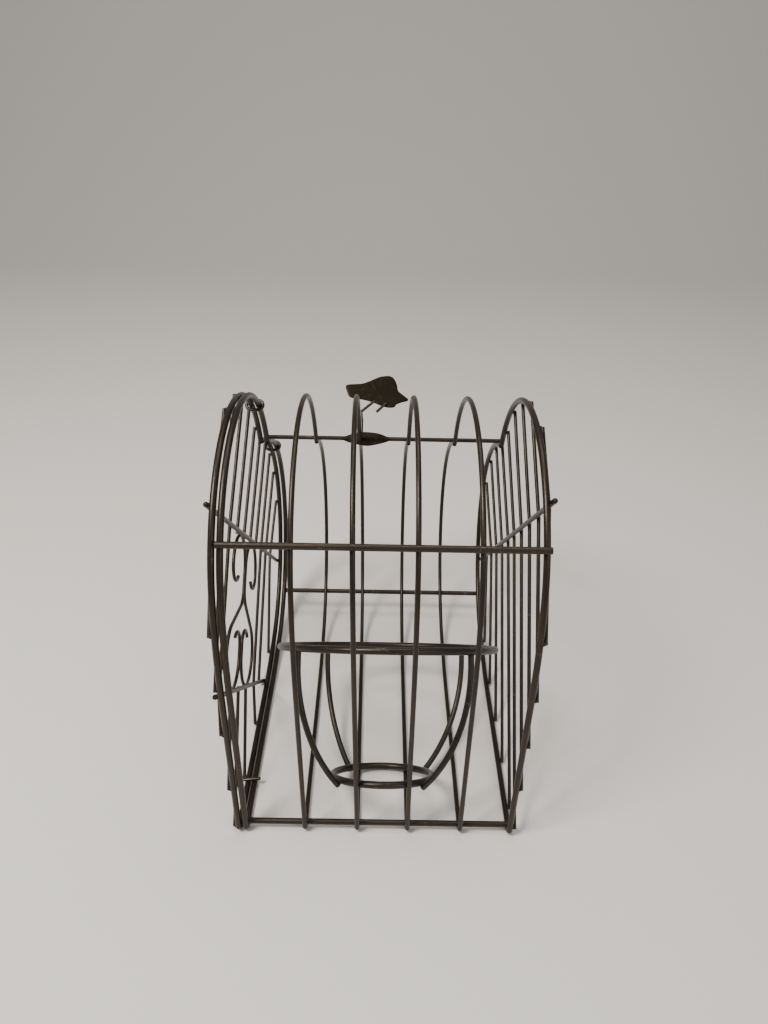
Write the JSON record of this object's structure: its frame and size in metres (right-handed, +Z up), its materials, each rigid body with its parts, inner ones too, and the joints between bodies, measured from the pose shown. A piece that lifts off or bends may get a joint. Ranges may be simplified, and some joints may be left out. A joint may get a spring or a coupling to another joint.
{
  "type": "wire bird cage",
  "caption": "Heart-shaped wire bird cage with a hinged end door, scrollwork, a perch with a bird, and a round wire basket inside for a plant pot.",
  "frame": {"origin": "centre of the bounding box, on the floor", "axes": "+Z up, X along the cage's depth with the door at -X, Y across, the heart's upper lobes leaning to +Y"},
  "size_m": [0.2442, 0.3316, 0.33],
  "materials": {
    "cage_wire": "satin dark bronze paint",
    "door_wire": "satin dark bronze paint",
    "basket_wire": "satin dark bronze paint",
    "fitting_wire": "satin dark bronze paint, rubbed",
    "sheet": "flat dark olive-brown paint"
  },
  "bodies": {
    "cage": {"door_end_frame": "cage_wire", "back_end_frame": "cage_wire", "hoop_1": "cage_wire", "hoop_2": "cage_wire", "hoop_3": "cage_wire", "hoop_4": "cage_wire", "bottom_rod": "cage_wire", "front_rod": "cage_wire", "rear_rod": "cage_wire", "perch_rod": "cage_wire", "perch_leaf": "sheet", "bird": "sheet", "bird_leg_fixed": "cage_wire", "bird_leg_free": "cage_wire", "back_cross_bar": "cage_wire", "back_bar_1": "cage_wire", "back_bar_2": "cage_wire", "back_bar_3": "cage_wire", "back_bar_4": "cage_wire", "back_bar_5": "cage_wire", "back_bar_6": "cage_wire", "back_bar_7": "cage_wire", "back_bar_8": "cage_wire", "back_bar_9": "cage_wire", "back_bar_10": "cage_wire", "hinge_ring_front": "fitting_wire", "hinge_ring_rear": "fitting_wire", "basket_top_ring": "basket_wire", "basket_base_ring": "basket_wire", "basket_rib_1": "basket_wire", "basket_rib_2": "basket_wire", "basket_rib_3": "basket_wire", "basket_rib_4": "basket_wire"},
    "door": {"door_frame": "door_wire", "door_cross_bar": "door_wire", "door_lower_bar": "door_wire", "door_bar_1": "door_wire", "door_bar_2": "door_wire", "door_bar_3": "door_wire", "door_bar_4": "door_wire", "door_bar_5": "door_wire", "door_bar_6": "door_wire", "door_bar_7": "door_wire", "door_bar_8": "door_wire", "door_bar_9": "door_wire", "door_bar_10": "door_wire", "door_tail_bar_1": "door_wire", "door_tail_bar_2": "door_wire", "door_tail_bar_3": "door_wire", "scroll_front": "door_wire", "scroll_rear": "door_wire", "door_finger": "fitting_wire"}
  },
  "joints": [
    {"name": "door_hinge", "type": "hinge", "parent": "cage", "child": "door", "pos_m": [-0.113, 0.0888, 0.25143], "axis": [0, 0.7025, -0.7116], "range_deg": [0, 110]}
  ]
}
